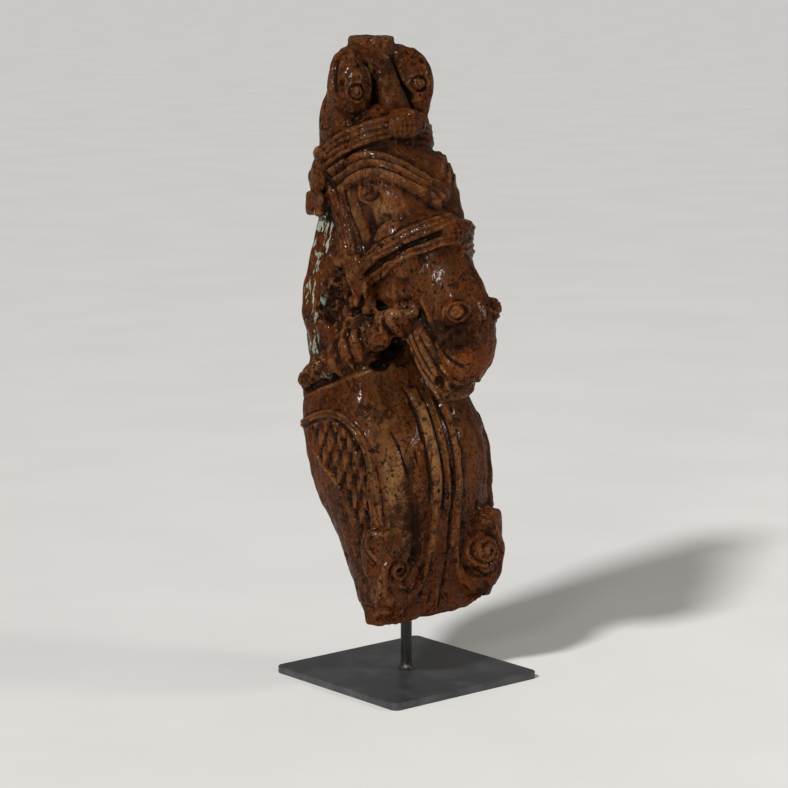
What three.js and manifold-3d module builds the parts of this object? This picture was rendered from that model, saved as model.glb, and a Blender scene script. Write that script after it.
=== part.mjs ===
// A horse's head and breast carved from one block of old wood, on a rod and a square steel plate.
// Units are millimetres. +Z is up and the horse faces -Y, so its right side is -X.
// The origin is the centre of the plate's underside.
import * as THREE from "three";
import { mergeVertices } from "three/addons/utils/BufferGeometryUtils.js";
import Module from "manifold-3d";

const wasm = await Module();
wasm.setup();

// ---- Driving dimensions ----

const fitGap = 0.3; // left between two pieces that touch

const plate = { side: 200, thickness: 8, cornerRadius: 7, bevel: 0.8 };
const rod = { radius: 6, wallSides: 28, intoWood: 60 };
const weld = { radius: 10, height: 6, lip: 1, wallSides: 18 };

const foot = 72; // height of the wood's lowest corner
const crownTop = 667; // height of the crown, where the broken peg stands

// Level sections of the block. half is the half width at y = mid, and the outline runs from
// front to back. The higher frontEdge and backEdge are, the squarer its corners.
const block = [
  { z: foot, half: 75, mid: -28, front: -46, back: 2, frontEdge: 2.6, backEdge: 2 },
  { z: 110, half: 78, mid: -28, front: -53, back: 32, frontEdge: 3, backEdge: 2.4 },
  { z: 155, half: 80, mid: -26, front: -59, back: 50, frontEdge: 3.2, backEdge: 3.2 },
  { z: 167, half: 80.5, mid: -25, front: -60, back: 53, frontEdge: 3.1, backEdge: 3.4 },
  { z: 182, half: 82, mid: -23, front: -62, back: 68, frontEdge: 3, backEdge: 4.2 },
  { z: 195, half: 83, mid: -22, front: -63, back: 72, frontEdge: 3, backEdge: 4.5 },
  { z: 228, half: 85, mid: -16, front: -64, back: 80, frontEdge: 3, backEdge: 6 },
  { z: 258, half: 84, mid: -10, front: -58, back: 87, frontEdge: 2.8, backEdge: 8 },
  { z: 290, half: 82, mid: 2, front: -44, back: 89, frontEdge: 2.5, backEdge: 9 },
  { z: 325, half: 73, mid: 22, front: -24, back: 89, frontEdge: 2.4, backEdge: 9 },
  { z: 355, half: 72, mid: 38, front: -14, back: 89, frontEdge: 2.3, backEdge: 9 },
  { z: 391, half: 79, mid: 52, front: -18, back: 89, frontEdge: 2.2, backEdge: 9 },
  { z: 446, half: 67, mid: 58, front: -26, back: 89, frontEdge: 2.2, backEdge: 9 },
  { z: 496, half: 53, mid: 60, front: -18, back: 88, frontEdge: 2.3, backEdge: 9 },
  { z: 532, half: 63, mid: 62, front: -6, back: 88, frontEdge: 2.3, backEdge: 9 },
  { z: 566, half: 52, mid: 60, front: 10, back: 87, frontEdge: 2.4, backEdge: 7 },
  { z: 600, half: 48, mid: 60, front: 28, back: 86, frontEdge: 2.6, backEdge: 5 },
  { z: 645, half: 48, mid: 60, front: 38, back: 82, frontEdge: 2.4, backEdge: 3 },
  { z: crownTop, half: 36, mid: 58, front: 36, back: 80, frontEdge: 2.2, backEdge: 2.2 },
];

// The face, from the lips up to the poll, in the same terms.
const face = [
  { z: 334, half: 14, mid: -100, front: -110, back: -90, frontEdge: 2.2, backEdge: 2.4 },
  { z: 342, half: 22, mid: -99, front: -117, back: -84, frontEdge: 2.3, backEdge: 2.6 },
  { z: 371, half: 31, mid: -94, front: -122, back: -74, frontEdge: 2.3, backEdge: 3 },
  { z: 400, half: 32, mid: -88, front: -121, back: -50, frontEdge: 2.1, backEdge: 3 },
  { z: 428, half: 33, mid: -72, front: -109, back: -26, frontEdge: 1.8, backEdge: 2.6 },
  { z: 458, half: 38, mid: -44, front: -87, back: -2, frontEdge: 1.6, backEdge: 2.4 },
  { z: 490, half: 46, mid: -18, front: -68, back: 34, frontEdge: 2.1, backEdge: 2.4 },
  { z: 518, half: 53, mid: 0, front: -48, back: 58, frontEdge: 2.8, backEdge: 2.6 },
  { z: 545, half: 52, mid: 18, front: -27, back: 72, frontEdge: 2.7, backEdge: 3 },
  { z: 572, half: 48, mid: 38, front: -2, back: 78, frontEdge: 2.5, backEdge: 3 },
  { z: 602, half: 36, mid: 48, front: 18, back: 78, frontEdge: 2.4, backEdge: 3 },
];

// The reins bunched under the jaw, in the same terms.
const reins = [
  { z: 312, half: 21, mid: -80, front: -87, back: -72, frontEdge: 2.2, backEdge: 2.2 },
  { z: 322, half: 26, mid: -77, front: -91, back: -60, frontEdge: 2.6, backEdge: 2.6 },
  { z: 348, half: 27, mid: -62, front: -82, back: -40, frontEdge: 2.8, backEdge: 2.8 },
  { z: 378, half: 29, mid: -46, front: -68, back: -20, frontEdge: 2.8, backEdge: 2.8 },
  { z: 410, half: 31, mid: -30, front: -54, back: 0, frontEdge: 2.6, backEdge: 2.6 },
];

const peg = { radius: 23.5, height: 12, y: 57 };
const ear = { x: 42, y: 44, z: 628, half: 19, depth: 27, height: 37, rim: 5, tip: 8, dish: 9, turn: 0.3 };
const earBoss = { x: 43, y: 34, z: 627, radius: 8, stands: 11 };
const forelock = {
  top: 662, foot: 598, yTop: 43, yFoot: 12, halfTop: 10, halfFoot: 17, stands: 8, root: 24,
  slot: { wider: 8, ahead: 30, deep: 4 }, // the slots that part it from the ears
};
const browBlock = { z: 588, radius: 19, stands: 9, slope: 0.6 };
const noseBlock = { z: 484, radius: 16, stands: 8, slope: 0.6 };
const rosette = { x: 60, y: 70, z: 534, radius: 12, thickness: 8 };
const knot = { x: 55, y: 15, z: 431, radius: 12, stands: 9.6 };
const eye = { angle: 1.58, z: 521, radius: 11, stands: 9, sunk: 3 };
const nostril = { x: 27, y: -106, z: 405, radius: 13, thickness: 7, towards: [0.8, -0.6] };
const brows = {
  count: 3, pitch: 8.5, radius: 4, // each ridge lies one pitch under the one before
  route: [[2, 534], [1.55, 553], [1.05, 556], [0.5, 546], [0.14, 530]], // angle round the face, height
};
const browBand = { half: 13, stands: 5, cords: 4, route: [[58, 66, 548], [52, 36, 572], [31, 10, 586]] };
const noseBand = {
  half: 12, stands: 5, cords: 3, knotEnd: [56, 18, 432],
  route: [[1.66, 458], [1.1, 474], [0.5, 483], [0, 484]], // angle round the face, height
};
const cheekStrap = {
  half: 10, stands: 5, cords: 3,
  route: [[1.5, 524], [1.24, 496], [1.07, 464], [0.95, 440]], // angle round the block, height
};
const collar = {
  knuckles: 5, radius: 17, stands: 9, cord: 5,
  route: [[74, 70, 322], [68, 28, 347], [56, -8, 371], [38, -34, 392]],
  seam: [[75, 78, 304], [71, 42, 315], [60, 8, 331], [44, -16, 343]],
};
const flank = {
  ridge: 3.2, // angle round the block, height
  route: [[2.3, 268], [1.95, 284], [1.68, 279], [1.48, 252], [1.36, 212], [1.3, 150]],
};
const breastStrap = { x: 13, half: 6, middle: 3, stands: 4, foot: 150, top: 300 };
const scroll = {
  x: 65, y: -44, ledge: 178, foot: 94, half: 26, depth: 20,
  profile: [[0, 0], [0.4, 0], [0.62, 0.2], [0.9, 0.5], [1, 0.8], [0.94, 1], [0, 1]], // shares of its size
  volute: { in: 3, ahead: 17, z: 135, radius: 17, stands: 6, towards: [0.4, -1] },
};
const neckStep = { half: 63, low: 494, high: 518, front: 66, back: 90 };
const underside = { rise: 0.05, reach: 300, deep: 60 }; // the cut below climbs this much to the left
const valley = 0.45; // how high the floor between two cords stands, as a share of the cords
const facing = 0.4; // how far the side bosses look forward rather than out
const hub = { y: 40, squeeze: 0.8 }; // straps on the head look away from this line

// How finely each curved piece is faceted: sides round it and rows up it, or steps along it.
const facets = {
  block: [28, 24], face: [20, 13], reins: [12, 3], band: 14, brow: 7, cheek: 5, seam: 5, ridge: 10,
  breast: 6, bead: 4,
};

// ---- Small tools ----

const mix = THREE.MathUtils.lerp;
const vec = (x, y, z) => new THREE.Vector3(x, y, z);
const circle = (count) => Array.from({ length: count }, (_, i) => (i / count) * 2 * Math.PI);

function toSolid(geometry) {
  const bare = geometry.index ? geometry.toNonIndexed() : geometry.clone();
  bare.deleteAttribute("normal");
  bare.deleteAttribute("uv");
  const merged = mergeVertices(bare, 1e-3);
  return new wasm.Manifold(
    new wasm.Mesh({
      numProp: 3,
      vertProperties: merged.attributes.position.array,
      triVerts: new Uint32Array(merged.index.array),
    }),
  );
}

function toGeometry(solid) {
  const { vertProperties, triVerts } = solid.getMesh();
  const geometry = new THREE.BufferGeometry();
  geometry.setAttribute("position", new THREE.BufferAttribute(vertProperties, 3));
  geometry.setIndex(new THREE.BufferAttribute(triVerts, 1));
  geometry.computeVertexNormals();
  return geometry;
}

// Closes a stack of rings, all with the same number of points, into one solid.
function loft(rings) {
  const count = rings[0].length;
  const points = rings.flat();
  const centre = (ring) => ring.reduce((sum, p) => sum.add(p), vec(0, 0, 0)).divideScalar(count);
  const first = points.push(centre(rings[0])) - 1;
  const last = points.push(centre(rings.at(-1))) - 1;
  const top = (rings.length - 1) * count;
  const faces = [];
  for (let i = 0; i < count; i++) {
    const next = (i + 1) % count;
    for (let row = 0; row < top; row += count) {
      faces.push(row + i, row + next, row + next + count, row + i, row + next + count, row + i + count);
    }
    faces.push(first, next, i, last, top + i, top + next);
  }
  const geometry = new THREE.BufferGeometry().setFromPoints(points);
  geometry.setIndex(faces);
  const solid = toSolid(geometry);
  if (solid.volume() > 0) return solid;
  geometry.setIndex(faces.toReversed());
  return toSolid(geometry);
}

// The section at height z, each of its values read off a smooth curve through the given sections.
function sectionAt(sections, z) {
  const last = sections.length - 1;
  const upper = sections.findIndex((s, i) => i > 0 && (s.z >= z || i === last));
  const [a, b, c, d] = [-2, -1, 0, 1].map((k) => sections[THREE.MathUtils.clamp(upper + k, 0, last)]);
  const span = c.z - b.z;
  const t = THREE.MathUtils.clamp((z - b.z) / span, 0, 1);
  const read = (key) => {
    const slopeIn = ((c[key] - a[key]) / (c.z - a.z)) * span;
    const slopeOut = ((d[key] - b[key]) / (d.z - b.z)) * span;
    const value = (2 * t ** 3 - 3 * t ** 2 + 1) * b[key] + (3 * t ** 2 - 2 * t ** 3) * c[key];
    return value + (t ** 3 - 2 * t ** 2 + t) * slopeIn + (t ** 3 - t ** 2) * slopeOut;
  };
  const keys = ["half", "mid", "front", "back", "frontEdge", "backEdge"];
  return Object.fromEntries([["z", z], ...keys.map((key) => [key, read(key)])]);
}

// A point of a section's outline. Angle 0 is straight ahead, and it grows towards +X.
function outlinePoint(section, angle, proud = 0) {
  const across = Math.sin(angle);
  const along = -Math.cos(angle);
  const depth = along < 0 ? section.mid - section.front : section.back - section.mid;
  const edge = along < 0 ? section.frontEdge : section.backEdge;
  const sum = Math.abs(across / section.half) ** edge + Math.abs(along / depth) ** edge;
  const reach = sum ** (-1 / edge) + proud;
  return vec(across * reach, section.mid + along * reach, section.z);
}

const skin = (sections, angle, z, proud) => outlinePoint(sectionAt(sections, z), angle, proud);

// The solid that the sections describe.
function body(sections, [sides, rows]) {
  const rings = [];
  for (let r = 0; r <= rows; r++) {
    const z = mix(sections[0].z, sections.at(-1).z, r / rows);
    rings.push(circle(sides).map((angle) => skin(sections, angle + Math.PI / sides, z)));
  }
  return loft(rings);
}

// Turns a geometry whose own axis is Y to look along a direction, and sets it in its place.
function placed(geometry, at, towards) {
  const turn = new THREE.Quaternion().setFromUnitVectors(vec(0, 1, 0), towards.clone().normalize());
  return toSolid(geometry.applyQuaternion(turn).translate(at.x, at.y, at.z));
}

function boss(at, radius, stands, towards) {
  return placed(new THREE.SphereGeometry(1, 8, 5).scale(radius, stands, radius), at, towards);
}

// A round block with a dished face and a button in the middle.
function roundel(at, radius, thickness, towards) {
  const profile = [
    [0, -thickness], [radius, -thickness], [radius * 0.9, thickness * 0.8], [radius * 0.6, thickness * 0.4],
    [radius * 0.35, thickness * 0.9], [0, thickness],
  ].map(([r, h]) => new THREE.Vector2(r, h));
  return placed(new THREE.LatheGeometry(profile, 12), at, towards);
}

// A strap along a curve, its outer face carved into round cords. outwards gives the way its face looks.
function fluted(points, half, stands, cords, outwards, steps) {
  const curve = new THREE.CatmullRomCurve3(points);
  const rings = [];
  for (let i = 0; i <= steps; i++) {
    const at = curve.getPoint(i / steps);
    const along = curve.getTangent(i / steps);
    const out = outwards(at).sub(along.clone().multiplyScalar(outwards(at).dot(along))).normalize();
    const across = along.clone().cross(out);
    const ring = [at.clone().addScaledVector(across, half).addScaledVector(out, -stands)];
    ring.push(at.clone().addScaledVector(across, -half).addScaledVector(out, -stands));
    for (let k = 0; k <= cords * 2; k++) {
      const rise = k % 2 ? stands : stands * valley;
      const offset = mix(-half, half, k / (cords * 2));
      ring.push(at.clone().addScaledVector(across, offset).addScaledVector(out, rise));
    }
    rings.push(ring);
  }
  return loft(rings);
}

const away = (at) => vec(at.x, (at.y - hub.y) * hub.squeeze, 0).normalize();
const sides = (make) => [-1, 1].map(make).flat();

// ---- The carving ----

// One ear: a rounded shell, dished in front, with a boss in the dish.
function earOn(side) {
  const turned = vec(side * ear.turn, -1, 0);
  const shell = placed(
    new THREE.SphereGeometry(1, 12, 8).scale(ear.half, ear.depth, ear.height),
    vec(side * ear.x, ear.y, ear.z), turned,
  );
  const dish = placed(
    new THREE.SphereGeometry(1, 10, 7).scale(ear.half - ear.rim, ear.depth, ear.height - ear.tip),
    vec(side * ear.x, ear.y - ear.depth * 2 + ear.dish, ear.z), turned,
  );
  const button = boss(vec(side * earBoss.x, earBoss.y, earBoss.z), earBoss.radius, earBoss.stands, turned);
  return [shell.subtract(dish), button];
}

function stump() {
  const geometry = new THREE.CylinderGeometry(peg.radius, peg.radius, peg.height * 2, 20);
  return toSolid(geometry.rotateX(Math.PI / 2).translate(0, peg.y, crownTop));
}

// The lock of hair between the ears. extra makes it wider, for the slots that part it from them.
function forelockSolid(extra, stands, depth) {
  const rings = [0, 0.25, 0.5, 0.75, 1].map((t) =>
    circle(10).map((turn) => {
      const rise = -Math.cos(turn);
      return vec(
        Math.sin(turn) * (mix(forelock.halfTop, forelock.halfFoot, t) + extra),
        mix(forelock.yTop, forelock.yFoot, t) + rise * (rise < 0 ? stands : depth),
        mix(forelock.top, forelock.foot, t),
      );
    }),
  );
  return loft(rings);
}

function bridle() {
  const browAt = skin(face, 0, browBlock.z);
  const noseAt = skin(face, 0, noseBlock.z);
  const crossing = (points, { half, stands, cords }) => fluted(
    [...points.map(([x, y, z]) => vec(-x, y, z)), ...points.toReversed().slice(1).map((p) => vec(...p))],
    half, stands, cords, away, facets.band,
  );
  const onFace = ([angle, z]) => skin(face, angle, z, 1).toArray();
  return [
    crossing([...browBand.route, [0, browAt.y - 1, browBlock.z]], browBand),
    crossing([noseBand.knotEnd, ...noseBand.route.map(onFace)], noseBand),
    boss(browAt, browBlock.radius, browBlock.stands, vec(0, -1, browBlock.slope)),
    boss(noseAt, noseBlock.radius, noseBlock.stands, vec(0, -1, noseBlock.slope)),
    ...sides(sideStraps),
  ];
}

// The rosette by the ear, the cheek strap and the knot that it ends in.
function sideStraps(side) {
  const looks = vec(side, -facing, 0);
  const rosetteAt = vec(side * rosette.x, rosette.y, rosette.z);
  const knotAt = vec(side * knot.x, knot.y, knot.z);
  const route = cheekStrap.route.map(([angle, z]) => skin(block, side * angle, z));
  return [
    roundel(rosetteAt, rosette.radius, rosette.thickness, looks),
    boss(knotAt, knot.radius, knot.stands, looks),
    fluted(route, cheekStrap.half, cheekStrap.stands, cheekStrap.cords, away, facets.cheek),
  ];
}

// The eye, and the ridges that arch over it and run down to the bridge of the nose.
function eyeAndBrows(side) {
  const at = skin(face, side * eye.angle, eye.z, -eye.sunk);
  const ridges = Array.from({ length: brows.count }, (_, i) => {
    const drop = (k) => (k ? i * brows.pitch : 0); // the ridges start from one place
    const points = brows.route.map(([angle, z], k) => skin(face, side * angle, z - drop(k)));
    return fluted(points, brows.radius, brows.radius, 1, away, facets.brow);
  });
  return [boss(at, eye.radius, eye.stands, vec(side, -facing, 0)), ...ridges];
}

function nostrils(side) {
  const [out, ahead] = nostril.towards;
  const at = vec(side * nostril.x, nostril.y, nostril.z);
  return [roundel(at, nostril.radius, nostril.thickness, vec(side * out, ahead, 0))];
}

// Scroll work from the nape round to the throat, cut as a row of leaf knuckles.
function collarOn(side) {
  const onSide = ([x, y, z]) => vec(x * side, y, z);
  const curve = new THREE.CatmullRomCurve3(collar.route.map(onSide));
  const seam = collar.seam.map(onSide);
  const knuckles = Array.from({ length: collar.knuckles }, (_, i) => {
    const at = curve.getPoint(i / (collar.knuckles - 1));
    return boss(at, collar.radius, collar.stands, away(at));
  });
  return [fluted(seam, collar.cord, collar.cord, 1, away, facets.seam), ...knuckles];
}

// The arched ridge that frames the carved panel on each flank.
function flankRidge(side) {
  const points = flank.route.map(([angle, z]) => skin(block, side * angle, z));
  return [fluted(points, flank.ridge, flank.ridge, 1, away, facets.ridge)];
}

function breastStraps() {
  const heights = [0, 0.25, 0.5, 0.75, 1].map((t) => mix(breastStrap.foot, breastStrap.top, t));
  const run = (x, half) =>
    fluted(
      heights.map((z) => vec(x, sectionAt(block, z).front, z)),
      half, breastStrap.stands, 1, () => vec(0, -1, 0), facets.breast,
    );
  return [run(0, breastStrap.middle), ...sides((side) => run(side * breastStrap.x, breastStrap.half))];
}

// A leaf scroll at each lower corner of the breast: a swelling with a flat ledge and a volute.
function leafScroll(side) {
  const tall = scroll.ledge - scroll.foot;
  const profile = scroll.profile.map(([r, h]) => new THREE.Vector2(r, h * tall));
  const swelling = new THREE.LatheGeometry(profile, 14).rotateX(Math.PI / 2);
  swelling.scale(scroll.half, scroll.depth, 1).translate(side * scroll.x, scroll.y, scroll.foot);
  const { volute } = scroll;
  const at = vec(side * (scroll.x - volute.in), scroll.y - volute.ahead, volute.z);
  const [out, ahead] = volute.towards;
  const disc = roundel(at, volute.radius, volute.stands, vec(side * out, ahead, 0));
  return [toSolid(swelling), disc];
}

function squareStep() {
  const { half, low, high, front, back } = neckStep;
  const geometry = new THREE.BoxGeometry(half * 2, back - front, high - low);
  return toSolid(geometry.translate(0, (front + back) / 2, (low + high) / 2));
}

function carving() {
  const pieces = [
    body(face, facets.face),
    body(reins, facets.reins),
    squareStep(),
    stump(),
    ...bridle(),
    ...breastStraps(),
    ...[earOn, eyeAndBrows, nostrils, collarOn, flankRidge, leafScroll].flatMap(sides),
  ];
  let wood = body(block, facets.block);
  for (const piece of pieces) wood = wood.add(piece);
  const bore = new THREE.CylinderGeometry(
    rod.radius + fitGap, rod.radius + fitGap, 2 * (rod.intoWood + fitGap), rod.wallSides,
  );
  const { reach, deep } = underside;
  const below = new THREE.BoxGeometry(reach, reach, deep).translate(reach / 2, 0, -deep / 2);
  below.rotateY(-Math.atan(underside.rise)).translate(-block[0].half, 0, foot);
  return wood
    .subtract(toSolid(below))
    .subtract(forelockSolid(forelock.slot.wider, forelock.slot.ahead, forelock.slot.deep))
    .add(forelockSolid(0, forelock.stands, forelock.root))
    .subtract(toSolid(bore.rotateX(Math.PI / 2).translate(0, 0, foot)));
}

// ---- The stand ----

function plateGeometry() {
  const half = plate.side / 2 - plate.bevel;
  const round = plate.cornerRadius;
  const outline = new THREE.Shape();
  for (const [sx, sy, quarter] of [[1, 1, 0], [-1, 1, 1], [-1, -1, 2], [1, -1, 3]]) {
    const from = quarter * (Math.PI / 2);
    outline.absarc(sx * (half - round), sy * (half - round), round, from, from + Math.PI / 2, false);
  }
  const geometry = new THREE.ExtrudeGeometry(outline, {
    depth: plate.thickness - 2 * plate.bevel,
    bevelThickness: plate.bevel,
    bevelSize: plate.bevel,
    bevelSegments: 1,
    curveSegments: 5,
  });
  return geometry.translate(0, 0, plate.bevel);
}

function rodGeometry() {
  const low = plate.thickness + fitGap;
  const high = foot + rod.intoWood;
  const geometry = new THREE.CylinderGeometry(rod.radius, rod.radius, high - low, rod.wallSides);
  return geometry.rotateX(Math.PI / 2).translate(0, 0, (low + high) / 2);
}

// The fillet of weld round the rod's foot.
function weldGeometry() {
  const inner = rod.radius + fitGap;
  const low = plate.thickness + fitGap;
  const spread = weld.radius - inner;
  const profile = [new THREE.Vector2(inner, low), new THREE.Vector2(weld.radius, low)];
  for (let i = 0; i < facets.bead; i++) {
    const a = (i / facets.bead) * (Math.PI / 2);
    profile.push(
      new THREE.Vector2(
        weld.radius - spread * Math.sin(a),
        low + weld.lip + (weld.height - weld.lip) * (1 - Math.cos(a)),
      ),
    );
  }
  profile.push(new THREE.Vector2(inner, low + weld.height), new THREE.Vector2(inner, low));
  return new THREE.LatheGeometry(profile, weld.wallSides).rotateX(Math.PI / 2);
}

// ---- The object ----

const oldWood = new THREE.MeshStandardMaterial({ color: 0x5a3119, roughness: 0.45, metalness: 0 });
const blackSteel = new THREE.MeshStandardMaterial({ color: 0x2b2d2e, roughness: 0.5, metalness: 0.8 });
const weldSteel = new THREE.MeshStandardMaterial({ color: 0x3a3733, roughness: 0.6, metalness: 0.8 });

function named(name, geometry, material) {
  const mesh = new THREE.Mesh(geometry, material);
  mesh.name = name;
  return mesh;
}

const object = new THREE.Group();
object.add(
  named("carved_horse", toGeometry(carving()), oldWood),
  named("support_rod", rodGeometry(), blackSteel),
  named("weld_fillet", weldGeometry(), weldSteel),
  named("base_plate", plateGeometry(), blackSteel),
);

export default object;
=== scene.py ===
import math

import bpy
import numpy as np
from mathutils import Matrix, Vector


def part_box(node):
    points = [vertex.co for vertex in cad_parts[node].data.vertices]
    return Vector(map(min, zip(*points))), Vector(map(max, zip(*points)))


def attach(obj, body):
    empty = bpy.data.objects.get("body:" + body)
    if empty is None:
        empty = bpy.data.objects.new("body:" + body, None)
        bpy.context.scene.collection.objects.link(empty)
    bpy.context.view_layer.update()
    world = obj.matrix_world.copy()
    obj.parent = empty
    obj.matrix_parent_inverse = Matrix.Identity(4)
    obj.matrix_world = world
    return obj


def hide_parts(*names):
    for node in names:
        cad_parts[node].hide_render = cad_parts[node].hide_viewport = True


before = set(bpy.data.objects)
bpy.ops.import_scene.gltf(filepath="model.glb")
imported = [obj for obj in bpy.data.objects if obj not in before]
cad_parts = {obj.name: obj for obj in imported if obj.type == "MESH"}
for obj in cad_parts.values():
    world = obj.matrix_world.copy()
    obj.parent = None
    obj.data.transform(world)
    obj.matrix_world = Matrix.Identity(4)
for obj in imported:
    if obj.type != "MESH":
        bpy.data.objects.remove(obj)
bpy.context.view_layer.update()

import openvdb
from mathutils import Vector

print("frame loaded")

# Lengths are millimetres while carving and metres once something is a Blender object.
# The horse faces -Y. A place on the carving is (out from the middle, y, z), and side is -1 or 1.

woodBlock = {
    "node": "carved_horse",
    "step": 1.05,  # size of one cell of the carving grid
    "margin": 12,
    "band": 15,  # how deep under the skin the grid still knows its distance
    "softness": 1.9,
    "regain": 0.9,  # what the softening takes off the outside
    "triangles": 192000,
    "seed": 41,
}


def triangleMesh(obj):
    mesh = obj.data
    mesh.calc_loop_triangles()
    points = np.empty(len(mesh.vertices) * 3, np.float32)
    mesh.vertices.foreach_get("co", points)
    corners = np.empty(len(mesh.loop_triangles) * 3, np.int32)
    mesh.loop_triangles.foreach_get("vertices", corners)
    return points.reshape(-1, 3) * 1000, corners.reshape(-1, 3)


def startBlock(values):
    step = values["step"]
    low, high = (np.array(corner) * 1000 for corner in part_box(values["node"]))
    first = np.floor((low - values["margin"]) / step).astype(int)
    count = np.ceil((high + values["margin"]) / step).astype(int) - first + 1
    points, corners = triangleMesh(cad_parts[values["node"]])
    grid = openvdb.FloatGrid.createLevelSetFromPolygons(
        points, triangles=corners.astype(np.uint32),
        transform=openvdb.createLinearTransform(step), halfWidth=values["band"] / step,
    )
    field = np.empty(count, np.float32)
    grid.copyToArray(field, ijk=tuple(int(i) for i in first))
    axes = [((first[k] + np.arange(count[k])) * step).astype(np.float32) for k in range(3)]
    return {"field": field, "axes": axes, "low": first * step, "step": step, "count": count}


def soften(values, passes):
    for _ in range(passes):
        for axis in range(3):
            rows = np.moveaxis(values, axis, 0)
            rows[1:-1] = rows[1:-1] * 0.5 + (rows[:-2] + rows[2:]) * 0.25
    return values


def readAt(wood, values, points, stride=1):
    places = (points - wood["low"]) / (wood["step"] * stride)
    limit = np.array(values.shape) - 1.001
    places = np.clip(places, 0, limit)
    cell = places.astype(int)
    part = (places - cell).astype(np.float32)
    total = np.zeros(len(points), np.float32)
    for corner in range(8):
        bits = np.array([corner & 1, corner >> 1 & 1, corner >> 2 & 1])
        at = cell + bits
        weight = np.prod(np.where(bits, part, 1 - part), axis=1)
        total += weight * values[at[:, 0], at[:, 1], at[:, 2]]
    return total


def slopeAt(wood, points):
    reach = wood["step"] * 1.5
    slope = np.empty((len(points), 3), np.float32)
    for axis in range(3):
        shift = np.zeros(3)
        shift[axis] = reach
        ahead = readAt(wood, wood["field"], points + shift)
        behind = readAt(wood, wood["field"], points - shift)
        slope[:, axis] = (ahead - behind) / (2 * reach)
    return slope


def toSkin(wood, points):
    points = np.array(points, float)
    for _ in range(8):
        slope = slopeAt(wood, points)
        steep = np.maximum((slope ** 2).sum(1), 0.1)
        points = points - slope * np.clip(readAt(wood, wood["field"], points) / steep, -6, 6)[:, None]
    slope = slopeAt(wood, points)
    return points, slope / np.maximum(np.linalg.norm(slope, axis=1), 1e-6)[:, None]


def evened(rows, passes):
    for _ in range(passes):
        rows[1:-1] = rows[1:-1] * 0.5 + (rows[:-2] + rows[2:]) * 0.25
    return rows


# Places are given for +X and mirrored for side -1. drop lowers them on +X, which sits lower.
def onSide(points, side, drop=0.0):
    return np.array(points, float) * (side, 1, 1) - (0, 0, drop * (side > 0))


# Gives places on one side, by their name in a piece's dictionary or as they are.
def sided(places, side):
    def on(place, drop=0.0):
        return onSide(places[place] if isinstance(place, str) else place, side, drop)

    return on


def smoothRoute(points, spacing=3.0):
    points = np.array(points, float)
    padded = np.vstack([2 * points[0] - points[1], points, 2 * points[-1] - points[-2]])
    route = []
    for a, b, c, d in zip(padded, padded[1:], padded[2:], padded[3:]):
        count = max(2, int(np.linalg.norm(c - b) / spacing))
        for t in np.arange(count) / count:
            route.append(
                0.5 * (2 * b + (c - a) * t + (2 * a - 5 * b + 4 * c - d) * t ** 2
                       + (3 * b - a - 3 * c + d) * t ** 3)
            )
    return np.array(route + [points[-1]])


def cut(wood, low, high):
    window = []
    for k in range(3):
        start = int(np.clip((low[k] - wood["low"][k]) // wood["step"], 0, wood["count"][k] - 1))
        stop = int(np.clip((high[k] - wood["low"][k]) // wood["step"] + 2, start + 1, wood["count"][k]))
        window.append(slice(start, stop))
    x, y, z = (axis[part] for axis, part in zip(wood["axes"], window))
    return wood["field"][tuple(window)], (x[:, None, None], y[None, :, None], z[None, None, :])


def near(wood, low, high, depth):
    part, (x, y, z) = cut(wood, low, high)
    chosen = np.abs(part) < depth
    full = np.broadcast_arrays(x, y, z)
    return part, chosen, np.stack([axis[chosen] for axis in full], 1)


# Distance along and across a route that lies on the skin, for the cells near it.
def alongRoute(wood, route, reach, depth):
    route, normals = toSkin(wood, smoothRoute(route))
    route, normals = evened(route, 5), evened(normals, 6)
    part, chosen, cells = near(wood, route.min(0) - reach, route.max(0) + reach, depth)
    lengths = np.linalg.norm(np.diff(route, axis=0), axis=1)
    starts = np.concatenate([[0], np.cumsum(lengths)])
    best = np.full(len(cells), 1e9, np.float32)
    along = np.zeros(len(cells), np.float32)
    across = np.zeros(len(cells), np.float32)
    for i, length in enumerate(lengths):
        if length < 0.05:
            continue
        line = (route[i + 1] - route[i]) / length
        low = np.minimum(route[i], route[i + 1]) - reach
        high = np.maximum(route[i], route[i + 1]) + reach
        close = np.flatnonzero(((cells > low) & (cells < high)).all(1))
        offset = cells[close] - route[i]
        run = np.clip(offset @ line, 0, length)
        away = offset - run[:, None] * line
        gap = (away ** 2).sum(1)
        nearer = gap < best[close]
        picked = close[nearer]
        best[picked] = gap[nearer]
        along[picked] = starts[i] + run[nearer]
        sideways = np.cross(line, normals[i])
        sideways /= max(np.linalg.norm(sideways), 1e-6)
        across[picked] = away[nearer] @ sideways
    return {"part": part, "chosen": chosen, "cells": cells, "along": along, "across": across,
            "off": np.sqrt(best), "length": starts[-1]}


def raiseBy(spot, amount):
    part, chosen = spot["part"], spot["chosen"]
    part[chosen] -= amount.astype(np.float32)


def easing(value):
    value = np.clip(value, 0, 1)
    return value * value * (3 - 2 * value)


def endFade(spot, fade):
    along = spot["along"]
    return easing(along / fade) * easing((spot["length"] - along) / fade)


def roundCords(share, count):
    part = np.mod(share * count, 1.0)
    return np.sqrt(np.clip(1 - (2 * part - 1) ** 2, 0, 1))


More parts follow.
